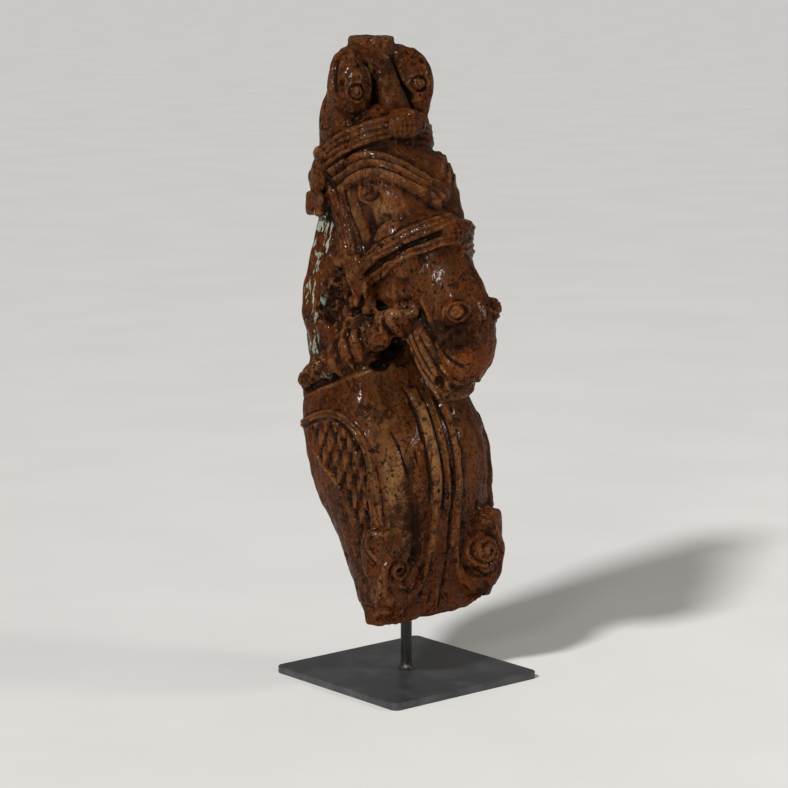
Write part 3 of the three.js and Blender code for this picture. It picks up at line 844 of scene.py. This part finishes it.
# Patches where the finish differs: (place, size, strength), in the carving's own places.
finishPatches = {
    # olive: a dull olive-grey tint, partly painted sheen where lit faces shine, as on the muzzle and the
    # chest
    "olive": [
        ((0, 30, 640), (14, 22, 34), 1.0), ((-34, 24, 580), (34, 44, 14), 0.7),
        ((-30, -10, 548), (36, 40, 16), 0.9), ((-52, 18, 500), (10, 14, 32), 0.8),
        ((-30, -80, 436), (18, 28, 26), 1.0), ((-48, -30, 330), (30, 30, 30), 0.6),
        ((-40, -30, 468), (26, 40, 16), 0.6), ((-60, 6, 438), (12, 14, 12), 0.8),
        ((-40, -40, 310), (30, 24, 26), 0.8), ((-64, -48, 232), (18, 22, 44), 0.5),
        ((-78, -54, 165), (12, 14, 12), 0.6), ((0, 58, 672), (40, 30, 14), 0.4),
        ((-66, 66, 536), (14, 16, 26), 0.5), ((30, -60, 470), (24, 30, 40), 0.5),
        ((-78, 66, 330), (12, 24, 40), 0.5), ((-70, -50, 108), (18, 20, 20), 0.3),
        ((-82, 0, 240), (14, 40, 30), 0.35),
    ],
    "orange": [
        ((-18, -106, 354), (30, 26, 15), 2.0), ((-46, 30, 606), (16, 14, 16), 0.9),
        ((44, 20, 604), (18, 16, 16), 0.9), ((-48, 22, 560), (24, 34, 10), 0.7),
        ((-70, 28, 405), (12, 24, 30), 0.5), ((-58, 2, 412), (12, 12, 16), 0.8),
        ((36, -50, 250), (24, 30, 60), 0.9), ((-34, -58, 236), (12, 16, 80), 0.7),
        ((-84, 60, 210), (12, 36, 50), 0.6), ((-20, -30, 524), (20, 16, 16), 0.7),
        ((-50, -22, 490), (16, 16, 16), 0.4), ((-48, -30, 376), (14, 14, 16), 0.8),
        ((-66, 8, 352), (12, 24, 18), 0.5), ((46, -62, 140), (34, 20, 44), 0.7),
        ((-40, -58, 110), (34, 16, 26), 0.5), ((-30, -112, 408), (14, 14, 14), 0.8),
        ((-12, -66, 150), (20, 16, 40), 0.8), ((24, -58, 400), (20, 40, 30), 0.6),
        ((0, -50, 110), (80, 40, 40), 0.8), ((60, -40, 150), (40, 40, 60), 0.8),
        ((10, -50, 270), (20, 24, 40), 0.6),
    ],
    "tan": [
        ((-16, -56, 262), (8, 24, 52), 1.6), ((-50, -20, 500), (11, 17, 17), 1.2),
        # the chest patch at (-62, -52, 232) is a worn light area and a painted highlight
        ((-20, -62, 352), (16, 30, 40), 0.6), ((-62, -52, 232), (17, 20, 38), 1.4),
        ((-60, -30, 290), (20, 24, 14), 0.5), ((36, -50, 262), (20, 24, 34), 0.4),
        ((-62, 70, 560), (10, 12, 14), 0.5), ((-40, -34, 402), (24, 22, 8), 0.7),
    ],
    # dark: burnt, pitted and cracked spots; the broad patches low on the chest make it darker towards the
    # bottom, and the one at (-30, -8, 356) in the throat cavity is painted shade.
    "dark": [
        ((-70, 28, 409), (18, 26, 36), 0.3), ((-32, -103, 383), (20, 26, 13), 2.2),
        ((-48, -58, 232), (7, 14, 30), 0.8), ((-44, -60, 196), (8, 12, 20), 0.9),
        ((-70, -30, 296), (18, 26, 12), 0.55), ((-46, -24, 488), (9, 12, 10), 0.6),
        ((84, -20, 240), (12, 30, 60), 0.55), ((0, 34, 632), (60, 24, 26), 0.45),
        ((0, -40, 120), (90, 40, 44), 0.35), ((-50, 30, 556), (14, 26, 9), 0.6),
        ((-44, -60, 176), (18, 14, 34), 0.8), ((-30, -8, 356), (18, 20, 22), 0.8),
        ((-44, -56, 156), (16, 12, 14), 1.0), ((-70, 20, 326), (16, 40, 10), 0.5),
        ((-64, -30, 120), (26, 30, 40), 0.4), ((-54, -46, 262), (8, 14, 30), 0.4),
        ((-46, 34, 608), (16, 18, 26), 0.65), ((-76, 10, 196), (14, 30, 30), 0.5),
        ((-76, -24, 130), (16, 26, 44), 0.55), ((48, -66, 160), (16, 12, 30), 0.5),
        ((-20, -26, 552), (16, 30, 10), 0.4), ((-42, -30, 386), (16, 16, 12), 0.45),
        ((-54, 40, 574), (14, 30, 10), 0.5), ((10, -30, 300), (24, 20, 20), 0.4),
        ((60, -56, 96), (14, 12, 12), 0.7),
    ],
    "paint": [
        ((-64, 66, 466), (14, 18, 34), 1.4), ((-74, 68, 414), (13, 17, 44), 1.2),
        ((-80, 66, 356), (12, 20, 34), 0.8), ((-64, 60, 508), (8, 12, 10), 0.6),
        ((-76, 40, 330), (10, 16, 12), 0.5),
    ],
}


def patchStrength(points, patches):
    total = np.zeros(len(points), np.float32)
    for place, size, strength in patches:
        far = (((points - place) / size) ** 2).sum(1)
        total = np.maximum(total, strength * np.exp(-far * 0.9))
    return total


def setMask(mesh, name, values):
    mask = mesh.attributes.new(name, "FLOAT", "POINT")
    mask.data.foreach_set("value", values.astype(np.float32))


def markSurface(obj, wood):
    mesh = obj.data
    points = np.empty(len(mesh.vertices) * 3, np.float32)
    mesh.vertices.foreach_get("co", points)
    points = points.reshape(-1, 3) * 1000
    passes = max(2, round((3.0 / wood["step"]) ** 2 * 2))
    small = soften(wood["field"].copy(), min(passes, 12))
    rise = readAt(wood, small, points)
    coarse = soften(wood["field"][::3, ::3, ::3].copy(), 8)
    bulk = readAt(wood, coarse, points, 3)
    # rise and bulk measure small and large hollows and ridges; the finish turns their low values into painted
    # shade.
    setMask(mesh, "rise", np.clip(0.5 + rise * 0.42, 0, 1))
    setMask(mesh, "bulk", np.clip(0.5 + (bulk - 1.2) * 0.12, 0, 1))
    setMask(mesh, "eaten", readAt(wood, wood["eaten"], points))
    for name, patches in finishPatches.items():
        setMask(mesh, name, patchStrength(points, patches))


def makeHorse():
    wood = startBlock(woodBlock)
    print("block ready", wood["field"].shape)
    soften(wood["field"], max(1, round((woodBlock["softness"] / wood["step"]) ** 2 * 2)))
    wood["field"] -= woodBlock["regain"]
    for stage in (carveCrest, carveBridle, carveKnots, carveFace, carveMuzzle, carveReins, carveCollar,
                  carveFlank, carveBreast, backCracks, weatherBlock):
        stage(wood)
        print("carved:", stage.__name__)
    soften(wood["field"], 1)
    grid = openvdb.FloatGrid()
    grid.copyFromArray(wood["field"])
    points, quads = grid.convertToQuads(isovalue=0.0)
    points, quads = largestShell(points, quads.astype(int))
    points = points * wood["step"] + wood["low"]
    horse = meshOf("horse_carving", points, quads[:, ::-1])
    print("meshed", len(quads), "faces")
    thinned(horse, woodBlock["triangles"])
    horse.data.polygons.foreach_set("use_smooth", np.full(len(horse.data.polygons), True))
    markSurface(horse, wood)
    print("horse done", len(horse.data.polygons), "faces")
    return horse


def newMaterial(name):
    material = bpy.data.materials.new(name)
    material.use_nodes = True
    tree = material.node_tree
    tree.nodes.clear()
    output = tree.nodes.new("ShaderNodeOutputMaterial")
    shader = tree.nodes.new("ShaderNodeBsdfPrincipled")
    tree.links.new(shader.outputs[0], output.inputs[0])
    return material, tree, shader


def put(tree, kind, inputs=None, **values):
    node = tree.nodes.new(kind)
    for key, value in values.items():
        setattr(node, key, value)
    for key, value in (inputs or {}).items():
        if isinstance(value, bpy.types.NodeSocket):
            tree.links.new(value, node.inputs[key])
        else:
            node.inputs[key].default_value = value
    return node


def maths(tree, operation, a, b=0.5, clamp=False):
    return put(tree, "ShaderNodeMath", {0: a, 1: b}, operation=operation, use_clamp=clamp).outputs[0]


def times(tree, a, b):
    return maths(tree, "MULTIPLY", a, b)


def ranged(tree, value, fromLow, fromHigh, toLow=0.0, toHigh=1.0):
    inputs = {"Value": value, "From Min": fromLow, "From Max": fromHigh, "To Min": toLow, "To Max": toHigh}
    return put(tree, "ShaderNodeMapRange", inputs, interpolation_type="SMOOTHSTEP").outputs[0]


def mixed(tree, share, a, b, blend="MIX"):
    node = put(tree, "ShaderNodeMix", {0: share, 6: a, 7: b}, data_type="RGBA", blend_type=blend)
    return node.outputs[2]


def noise(tree, vector, scale, detail=4.0, rough=0.55, warp=0.0):
    inputs = {"Vector": vector, "Scale": scale, "Detail": detail, "Roughness": rough, "Distortion": warp}
    return put(tree, "ShaderNodeTexNoise", inputs).outputs["Fac"]


def stretched(tree, vector, scale):
    return put(tree, "ShaderNodeMapping", {"Vector": vector, "Scale": scale}).outputs[0]


def mask(tree, name):
    return put(tree, "ShaderNodeAttribute", attribute_name=name).outputs["Fac"]


def newGroup(name, inputs, outputs):
    group = bpy.data.node_groups.new(name, "ShaderNodeTree")
    for label, kind, value in inputs:
        socket = group.interface.new_socket(label, in_out="INPUT", socket_type=kind)
        if value is not None:
            socket.default_value = value
    for label, kind in outputs:
        group.interface.new_socket(label, in_out="OUTPUT", socket_type=kind)
    return group, group.nodes.new("NodeGroupInput"), group.nodes.new("NodeGroupOutput")


def place(tree, group, inputs):
    return put(tree, "ShaderNodeGroup", inputs, node_tree=group).outputs[0]


# Fine streaks that run one way, as in grain or brushing.
def streakGroup():
    group, inside, outside = newGroup(
        "streaks",
        [("Vector", "NodeSocketVector", None), ("Fineness", "NodeSocketFloat", 300.0),
         ("Stretch", "NodeSocketVector", (1.0, 1.0, 0.12))],
        [("Streak", "NodeSocketFloat")],
    )
    both = {0: inside.outputs[0], 1: inside.outputs[2]}
    scaled = put(group, "ShaderNodeVectorMath", both, operation="MULTIPLY")
    streak = noise(group, scaled.outputs[0], inside.outputs[1], 5.0, 0.62, 0.4)
    group.links.new(streak, outside.inputs[0])
    return group


# Scattered specks, with how many there are and how large.
def speckGroup():
    group, inside, outside = newGroup(
        "specks",
        [("Vector", "NodeSocketVector", None), ("Fineness", "NodeSocketFloat", 200.0),
         ("Level", "NodeSocketFloat", 0.62), ("Edge", "NodeSocketFloat", 0.05)],
        [("Speck", "NodeSocketFloat")],
    )
    cells = noise(group, inside.outputs[0], inside.outputs[1], 3.0, 0.6, 0.3)
    high = maths(group, "ADD", inside.outputs[2], inside.outputs[3])
    group.links.new(ranged(group, cells, inside.outputs[2], high), outside.inputs[0])
    return group


streaks = streakGroup()
specks = speckGroup()

woodFinish = {
    "brown": (0.066, 0.0185, 0.0042, 1),
    "deepBrown": (0.024, 0.0068, 0.0020, 1),
    "orange": (0.130, 0.0280, 0.0030, 1),
    "olive": (0.078, 0.0350, 0.0115, 1),
    "tan": (0.220, 0.102, 0.0380, 1),
    # near-black, for burnt pits and for the painted shade in the hollows
    "sootAndShade": (0.0035, 0.0022, 0.0016, 1),
    "paint": (0.360, 0.390, 0.300, 1),
    "roughness": (0.24, 0.5),
    "wax": (0.0, 0.38),
}


# The patterns and masks that the layers of the finish are made from.
def woodPatterns(tree):
    where = put(tree, "ShaderNodeTexCoord").outputs["Object"]
    parts = {name: mask(tree, name) for name in ("rise", "bulk", "eaten", *finishPatches)}
    parts["where"] = where
    parts["grain"] = place(tree, streaks, {"Vector": where, "Fineness": 260.0, "Stretch": (1, 1, 0.11)})
    parts["fine"] = place(tree, streaks, {"Vector": where, "Fineness": 900.0, "Stretch": (1, 1, 0.16)})
    parts["cloud"] = noise(tree, where, 26.0, 5.0, 0.6, 0.5)
    parts["blotch"] = noise(tree, where, 95.0, 6.0, 0.68, 0.8)
    parts["dust"] = noise(tree, where, 420.0, 4.0, 0.7)
    return parts


# Brown under orange, rubbed to tan on edges; olive and tan patches are partly painted sheen and highlight;
# painted shade in the hollows.
def woodColour(tree, parts):
    rise, blotch, dust = parts["rise"], parts["blotch"], parts["dust"]
    stain = noise(tree, stretched(tree, parts["where"], (1, 1, 0.5)), 48.0, 6.0, 0.7, 0.6)
    trough = ranged(tree, rise, 0.49, 0.38)
    edge = ranged(tree, rise, 0.56, 0.8)
    # hollow: creases and deep cavities, where near-black is mixed in as painted shade
    hollow = maths(tree, "MAXIMUM", ranged(tree, rise, 0.43, 0.16), ranged(tree, parts["bulk"], 0.44, 0.12))
    layers = [  # where each lies, how strongly, and its colour, from the bottom up
        (ranged(tree, blotch, 0.45, 0.62), 0.75, "orange"),
        (times(tree, parts["orange"], ranged(tree, blotch, 0.36, 0.5, 0.2, 1.0)), 0.95, "orange"),
        (times(tree, parts["olive"], ranged(tree, blotch, 0.62, 0.42, 0.3, 1.0)), 0.85, "olive"),
        (times(tree, parts["tan"], ranged(tree, blotch, 0.38, 0.52, 0.2, 1.0)), 0.85, "tan"),
        (times(tree, trough, ranged(tree, blotch, 0.34, 0.5, 0.2, 1.0)), 0.6, "orange"),
        (times(tree, edge, ranged(tree, blotch, 0.4, 0.56, 0.2, 1.0)), 0.42, "tan"),
        (ranged(tree, parts["grain"], 0.52, 0.66), 0.5, "deepBrown"),
        (ranged(tree, stain, 0.52, 0.64), 0.6, "deepBrown"),
        (ranged(tree, dust, 0.5, 0.66), 0.4, "olive"),
        (ranged(tree, dust, 0.46, 0.32), 0.5, "deepBrown"),
        # painted shade: near-black in the hollows
        (times(tree, hollow, ranged(tree, blotch, 0.25, 0.5, 0.7, 1.0)), 0.9, "sootAndShade"),
    ]
    brown = ranged(tree, parts["cloud"], 0.38, 0.58)
    colour = mixed(tree, brown, woodFinish["deepBrown"], woodFinish["brown"])
    for share, most, tint in layers:
        colour = mixed(tree, times(tree, share, most), colour, woodFinish[tint])
    return colour


# Worm holes and specks, close together in some places, the places that look burnt, and dark blotches near the
# dark patches, painted shade in the throat cavity.
def woodBurnsAndShade(tree, parts):
    where = parts["where"]
    upright = stretched(tree, where, (1, 1, 0.75))
    small = place(tree, specks, {"Vector": upright, "Fineness": 380.0, "Level": 0.60, "Edge": 0.025})
    large = place(tree, specks, {"Vector": upright, "Fineness": 140.0, "Level": 0.61, "Edge": 0.02})
    patchy = ranged(tree, noise(tree, where, 17.0, 3.0, 0.5, 0.3), 0.42, 0.56, 0.1, 1.0)
    pitted = times(tree, maths(tree, "MAXIMUM", small, large), patchy)
    reach = maths(tree, "ADD", times(tree, parts["dark"], 0.36), parts["blotch"])
    reach = maths(tree, "ADD", reach, times(tree, parts["cloud"], 0.3))
    holes = maths(tree, "MAXIMUM", pitted, ranged(tree, parts["eaten"], 0.1, 0.5))
    return maths(tree, "MAXIMUM", holes, ranged(tree, reach, 0.79, 0.84, 0.0, 0.85))


# What is left of the old paint, in upright flakes.
def paintFlakes(tree, parts):
    upright = stretched(tree, parts["where"], (1, 1, 0.32))
    flakes = place(tree, specks, {"Vector": upright, "Fineness": 170.0, "Level": 0.56, "Edge": 0.02})
    return times(tree, flakes, ranged(tree, parts["paint"], 0.3, 0.6))


def woodHeight(tree, parts, black, painted):
    height = times(tree, parts["grain"], 0.5)
    for pattern, share in ((parts["fine"], 0.22), (parts["blotch"], 1.1), (parts["dust"], 0.3), (black, -0.7),
                           (painted, 0.25)):
        height = maths(tree, "ADD", height, times(tree, pattern, share))
    return height


def oldWood():
    material, tree, shader = newMaterial("old_wood_finish")
    parts = woodPatterns(tree)
    black = woodBurnsAndShade(tree, parts)
    painted = paintFlakes(tree, parts)
    # black: pits and burns, with painted shade in the throat cavity
    colour = mixed(tree, times(tree, black, 0.85), woodColour(tree, parts), woodFinish["sootAndShade"])
    colour = mixed(tree, times(tree, painted, 0.75), colour, woodFinish["paint"])
    tree.links.new(colour, shader.inputs["Base Color"])
    gloss = ranged(tree, noise(tree, parts["where"], 130.0, 5.0, 0.7), 0.4, 0.6, *woodFinish["roughness"])
    rougher = maths(tree, "ADD", gloss, ranged(tree, painted, 0.0, 1.0, 0.0, 0.2), True)
    tree.links.new(rougher, shader.inputs["Roughness"])
    wax = ranged(tree, parts["dust"], 0.46, 0.62, *woodFinish["wax"])
    tree.links.new(times(tree, wax, ranged(tree, black, 0.6, 0.1)), shader.inputs["Coat Weight"])
    shader.inputs["Coat Roughness"].default_value = 0.18
    shader.inputs["Specular IOR Level"].default_value = 0.03
    height = woodHeight(tree, parts, black, painted)
    bump = put(tree, "ShaderNodeBump", {"Strength": 0.7, "Distance": 0.002, "Height": height})
    tree.links.new(bump.outputs[0], shader.inputs["Normal"])
    return material


steelFinish = {
    "plate": (0.050, 0.051, 0.053, 1),
    "plateWorn": (0.105, 0.105, 0.107, 1),
    "rod": (0.035, 0.034, 0.034, 1),
    "rust": (0.050, 0.024, 0.012, 1),
    "straw": (0.320, 0.240, 0.120, 1),
}

steelPieces = {  # brushed gives the stretch of the streaks, and a higher speckled fewer rust spots
    "base_plate": {"name": "plate_steel_finish", "base": "plate", "worn": "plateWorn",
                   "brushed": (1, 0.08, 1), "speckled": 0.66},
    "support_rod": {"name": "rod_steel_finish", "base": "rod", "worn": "plate",
                    "brushed": (1, 1, 0.1), "speckled": 0.64},
}


def blackSteel(name, base, worn, brushed, speckled):
    material, tree, shader = newMaterial(name)
    where = put(tree, "ShaderNodeTexCoord").outputs["Object"]
    cloud = noise(tree, where, 22.0, 5.0, 0.6, 0.4)
    scratch = place(tree, streaks, {"Vector": where, "Fineness": 700.0, "Stretch": brushed})
    colour = mixed(tree, ranged(tree, cloud, 0.35, 0.7), steelFinish[base], steelFinish[worn])
    colour = mixed(tree, ranged(tree, scratch, 0.55, 0.8, 0.0, 0.3), colour, steelFinish[worn])
    spots = place(tree, specks, {"Vector": where, "Fineness": 320.0, "Level": speckled, "Edge": 0.04})
    colour = mixed(tree, times(tree, spots, 0.6), colour, steelFinish["rust"])
    tree.links.new(colour, shader.inputs["Base Color"])
    tree.links.new(ranged(tree, cloud, 0.3, 0.7, 0.36, 0.52), shader.inputs["Roughness"])
    height = maths(tree, "ADD", times(tree, scratch, 0.5), times(tree, spots, 0.4))
    bump = put(tree, "ShaderNodeBump", {"Strength": 0.2, "Distance": 0.0004, "Height": height})
    tree.links.new(bump.outputs[0], shader.inputs["Normal"])
    shader.inputs["Metallic"].default_value = 0.55
    return material


def weldSteel():
    material, tree, shader = newMaterial("weld_bead_finish")
    where = put(tree, "ShaderNodeTexCoord").outputs["Object"]
    heat = noise(tree, where, 160.0, 4.0, 0.6)
    colour = mixed(tree, ranged(tree, heat, 0.5, 0.72), steelFinish["rod"], steelFinish["straw"])
    tree.links.new(colour, shader.inputs["Base Color"])
    tree.links.new(ranged(tree, heat, 0.3, 0.7, 0.3, 0.55), shader.inputs["Roughness"])
    bump = put(tree, "ShaderNodeBump", {"Strength": 0.4, "Distance": 0.0006, "Height": heat})
    tree.links.new(bump.outputs[0], shader.inputs["Normal"])
    shader.inputs["Metallic"].default_value = 0.6
    return material


def paleFloor():
    material, tree, shader = newMaterial("pale_floor")
    where = put(tree, "ShaderNodeTexCoord").outputs["Object"]
    tint = noise(tree, where, 4.0, 3.0, 0.5)
    colour = mixed(tree, ranged(tree, tint, 0.3, 0.7), (0.84, 0.83, 0.81, 1), (0.87, 0.86, 0.84, 1))
    tree.links.new(colour, shader.inputs["Base Color"])
    shader.inputs["Roughness"].default_value = 0.7
    return material


def finish(obj, material):
    obj.data.materials.clear()
    obj.data.materials.append(material)


weldBead = {"node": "weld_fillet", "ripples": 15, "around": 120, "up": 12, "ripple": 0.35, "thick": 3.7,
            "topHole": 0.6, "footHole": 0.4}


# A hand-laid bead with overlapping ripples, between the rod's foot and the plate.
def makeWeld():
    low, high = (np.array(corner) * 1000 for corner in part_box(weldBead["node"]))
    outer = (high[0] - low[0]) / 2
    inner = outer - weldBead["thick"]
    tall = high[2] - low[2]
    around = weldBead["around"]
    rows = []
    for i in range(weldBead["up"] + 1):
        quarter = i / weldBead["up"] * math.pi / 2
        ring = []
        for turn in np.arange(around) / around * 2 * math.pi:
            wander = 0.25 * math.sin(turn * 3) + 0.5 * i / weldBead["up"]
            beat = (turn * weldBead["ripples"] / (2 * math.pi) + wander) % 1
            swell = -weldBead["ripple"] * (1 - beat) * math.sin(2 * quarter)
            radius = outer - (outer - inner) * math.sin(quarter) ** 1.3 + swell
            height = low[2] + tall * (1 - math.cos(quarter)) ** 0.9
            ring.append((radius * math.cos(turn), radius * math.sin(turn), height))
        rows.append(ring)
    inside = weldBead["topHole"], weldBead["footHole"]
    rows.append([(x * inside[0], y * inside[0], high[2]) for x, y, z in rows[-1]])
    rows.insert(0, [(x * inside[1], y * inside[1], low[2]) for x, y, z in rows[0]])
    points = np.array(rows).reshape(-1, 3)
    faces = []
    count = len(rows)
    for row in range(count):
        above = (row + 1) % count
        for i in range(around):
            j = (i + 1) % around
            faces.append((row * around + i, row * around + j, above * around + j, above * around + i))
    return meshOf("weld_bead", points, np.array(faces))


studio = {
    "floor": 60.0,
    "lens": 127.0,
    "cameraPlace": (-1.877, -2.202, 0.801),
    "cameraAim": (-0.0324, -0.0181, 0.3123),
    "lampAim": (0, 0, 0.36),
    "sky": (1.0, 0.97, 0.93, 1),
    "skyStrength": 0.20,
    "sunFrom": (-0.88, -0.22, 0.78),
    "sunPower": 2.6,
    "sunSoftness": 7,  # degrees
}

lamps = [
    {"name": "key_light", "place": (-2.3, -1.5, 1.3), "size": 0.5, "power": 13, "tint": (1.0, 0.96, 0.90)},
    {"name": "fill_light", "place": (1.7, -1.9, 1.5), "size": 0.6, "power": 17, "tint": (1.0, 0.97, 0.93)},
]


def turned(direction, axis):
    return Vector(direction).to_track_quat(axis, "Y").to_euler()


def makeStudio():
    half = studio["floor"] / 2
    corners = [(-half, -half, 0), (half, -half, 0), (half, half, 0), (-half, half, 0)]
    floor = meshOf("floor", np.array(corners) * 1000, np.array([(0, 1, 2, 3)]), False)
    finish(floor, paleFloor())
    for lamp in lamps:
        light = bpy.data.lights.new(lamp["name"], "AREA")
        light.shape = "DISK"
        light.size = lamp["size"]
        light.energy = lamp["power"]
        light.color = lamp["tint"]
        obj = addObject(lamp["name"], light, lamp["place"])
        obj.rotation_euler = turned(Vector(studio["lampAim"]) - Vector(lamp["place"]), "-Z")
    sun = addObject("sun", bpy.data.lights.new("sun", "SUN"))
    sun.data.energy = studio["sunPower"]
    sun.data.angle = math.radians(studio["sunSoftness"])
    sun.rotation_euler = turned(studio["sunFrom"], "Z")
    world = bpy.data.worlds.new("studio")
    world.use_nodes = True
    sky = world.node_tree.nodes["Background"]
    sky.inputs[0].default_value = studio["sky"]
    sky.inputs[1].default_value = studio["skyStrength"]
    bpy.context.scene.world = world
    camera = addObject("camera", bpy.data.cameras.new("camera"), studio["cameraPlace"])
    camera.data.lens = studio["lens"]
    camera.data.sensor_width = 36
    camera.rotation_euler = turned(Vector(studio["cameraAim"]) - camera.location, "-Z")
    bpy.context.scene.camera = camera
    bpy.context.scene.view_settings.view_transform = "Standard"
    print("studio ready")


makeStudio()
horse = makeHorse()
finish(horse, oldWood())
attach(horse, "root")
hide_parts("carved_horse")

weld = makeWeld()
finish(weld, weldSteel())
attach(weld, "root")
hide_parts("weld_fillet")

for node, look in steelPieces.items():
    finish(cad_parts[node], blackSteel(**look))
print("stand finished")
